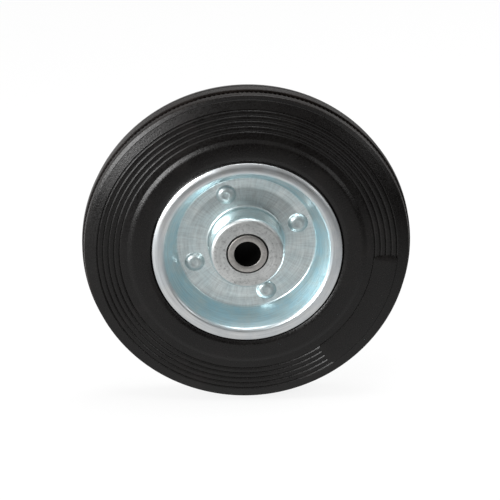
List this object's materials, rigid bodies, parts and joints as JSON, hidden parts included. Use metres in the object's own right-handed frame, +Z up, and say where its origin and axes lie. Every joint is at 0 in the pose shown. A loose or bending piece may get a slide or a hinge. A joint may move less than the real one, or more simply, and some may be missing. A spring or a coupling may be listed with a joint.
{
  "type": "trolley wheel",
  "caption": "Solid rubber trolley wheel on riveted, zinc-plated pressed steel rim halves, turning on a caged roller bearing and a plain axle sleeve.",
  "frame": {"origin": "centre of the wheel, on the axle line and midway between the two rims", "axes": "+Y along the axle line from the front face to the rear face, so the front faces -Y; +Z up; the wheel spins about +Y"},
  "size_m": [0.2, 0.042, 0.2],
  "materials": {
    "rubber": "satin moulded black rubber",
    "zinc_sheet": "bright zinc plating with a pale blue passivate",
    "rivet_steel": "zinc plated",
    "bearing_steel": "ground bearing steel",
    "cage_plastic": "black nylon",
    "sleeve_steel": "turned steel"
  },
  "bodies": {
    "sleeve": {"axle_sleeve": "sleeve_steel"},
    "wheel": {"tyre": "rubber", "front_rim_half": "zinc_sheet", "rear_rim_half": "zinc_sheet", "rivet_1": "rivet_steel", "rivet_2": "rivet_steel", "rivet_3": "rivet_steel", "rivet_4": "rivet_steel", "bearing_race": "bearing_steel"},
    "cage": {"roller_cage": "cage_plastic"},
    "roller_1_body": {"roller_1": "bearing_steel"},
    "roller_2_body": {"roller_2": "bearing_steel"},
    "roller_3_body": {"roller_3": "bearing_steel"},
    "roller_4_body": {"roller_4": "bearing_steel"},
    "roller_5_body": {"roller_5": "bearing_steel"},
    "roller_6_body": {"roller_6": "bearing_steel"},
    "roller_7_body": {"roller_7": "bearing_steel"},
    "roller_8_body": {"roller_8": "bearing_steel"},
    "roller_9_body": {"roller_9": "bearing_steel"},
    "roller_10_body": {"roller_10": "bearing_steel"}
  },
  "joints": [
    {"name": "wheel_spin", "type": "hinge", "parent": "sleeve", "child": "wheel", "pos_m": [0, 0, 0], "axis": [0, 1, 0], "continuous": true},
    {"name": "cage_spin", "type": "hinge", "parent": "sleeve", "child": "cage", "pos_m": [0, 0, 0], "axis": [0, 1, 0], "continuous": true},
    {"name": "roller_1_spin", "type": "hinge", "parent": "cage", "child": "roller_1_body", "pos_m": [0.01555, 0, 0], "axis": [0, 1, 0], "continuous": true},
    {"name": "roller_2_spin", "type": "hinge", "parent": "cage", "child": "roller_2_body", "pos_m": [0.01258, 0, 0.00914], "axis": [0, 1, 0], "continuous": true},
    {"name": "roller_3_spin", "type": "hinge", "parent": "cage", "child": "roller_3_body", "pos_m": [0.00481, 0, 0.01479], "axis": [0, 1, 0], "continuous": true},
    {"name": "roller_4_spin", "type": "hinge", "parent": "cage", "child": "roller_4_body", "pos_m": [-0.00481, 0, 0.01479], "axis": [0, 1, 0], "continuous": true},
    {"name": "roller_5_spin", "type": "hinge", "parent": "cage", "child": "roller_5_body", "pos_m": [-0.01258, 0, 0.00914], "axis": [0, 1, 0], "continuous": true},
    {"name": "roller_6_spin", "type": "hinge", "parent": "cage", "child": "roller_6_body", "pos_m": [-0.01555, 0, 0], "axis": [0, 1, 0], "continuous": true},
    {"name": "roller_7_spin", "type": "hinge", "parent": "cage", "child": "roller_7_body", "pos_m": [-0.01258, 0, -0.00914], "axis": [0, 1, 0], "continuous": true},
    {"name": "roller_8_spin", "type": "hinge", "parent": "cage", "child": "roller_8_body", "pos_m": [-0.00481, 0, -0.01479], "axis": [0, 1, 0], "continuous": true},
    {"name": "roller_9_spin", "type": "hinge", "parent": "cage", "child": "roller_9_body", "pos_m": [0.00481, 0, -0.01479], "axis": [0, 1, 0], "continuous": true},
    {"name": "roller_10_spin", "type": "hinge", "parent": "cage", "child": "roller_10_body", "pos_m": [0.01258, 0, -0.00914], "axis": [0, 1, 0], "continuous": true}
  ],
  "couplings": [
    {"joint": "cage_spin", "follows": "wheel_spin", "ratio": 0.61415},
    {"joint": "roller_1_spin", "follows": "wheel_spin", "ratio": 2.1056},
    {"joint": "roller_2_spin", "follows": "wheel_spin", "ratio": 2.1056},
    {"joint": "roller_3_spin", "follows": "wheel_spin", "ratio": 2.1056},
    {"joint": "roller_4_spin", "follows": "wheel_spin", "ratio": 2.1056},
    {"joint": "roller_5_spin", "follows": "wheel_spin", "ratio": 2.1056},
    {"joint": "roller_6_spin", "follows": "wheel_spin", "ratio": 2.1056},
    {"joint": "roller_7_spin", "follows": "wheel_spin", "ratio": 2.1056},
    {"joint": "roller_8_spin", "follows": "wheel_spin", "ratio": 2.1056},
    {"joint": "roller_9_spin", "follows": "wheel_spin", "ratio": 2.1056},
    {"joint": "roller_10_spin", "follows": "wheel_spin", "ratio": 2.1056}
  ]
}
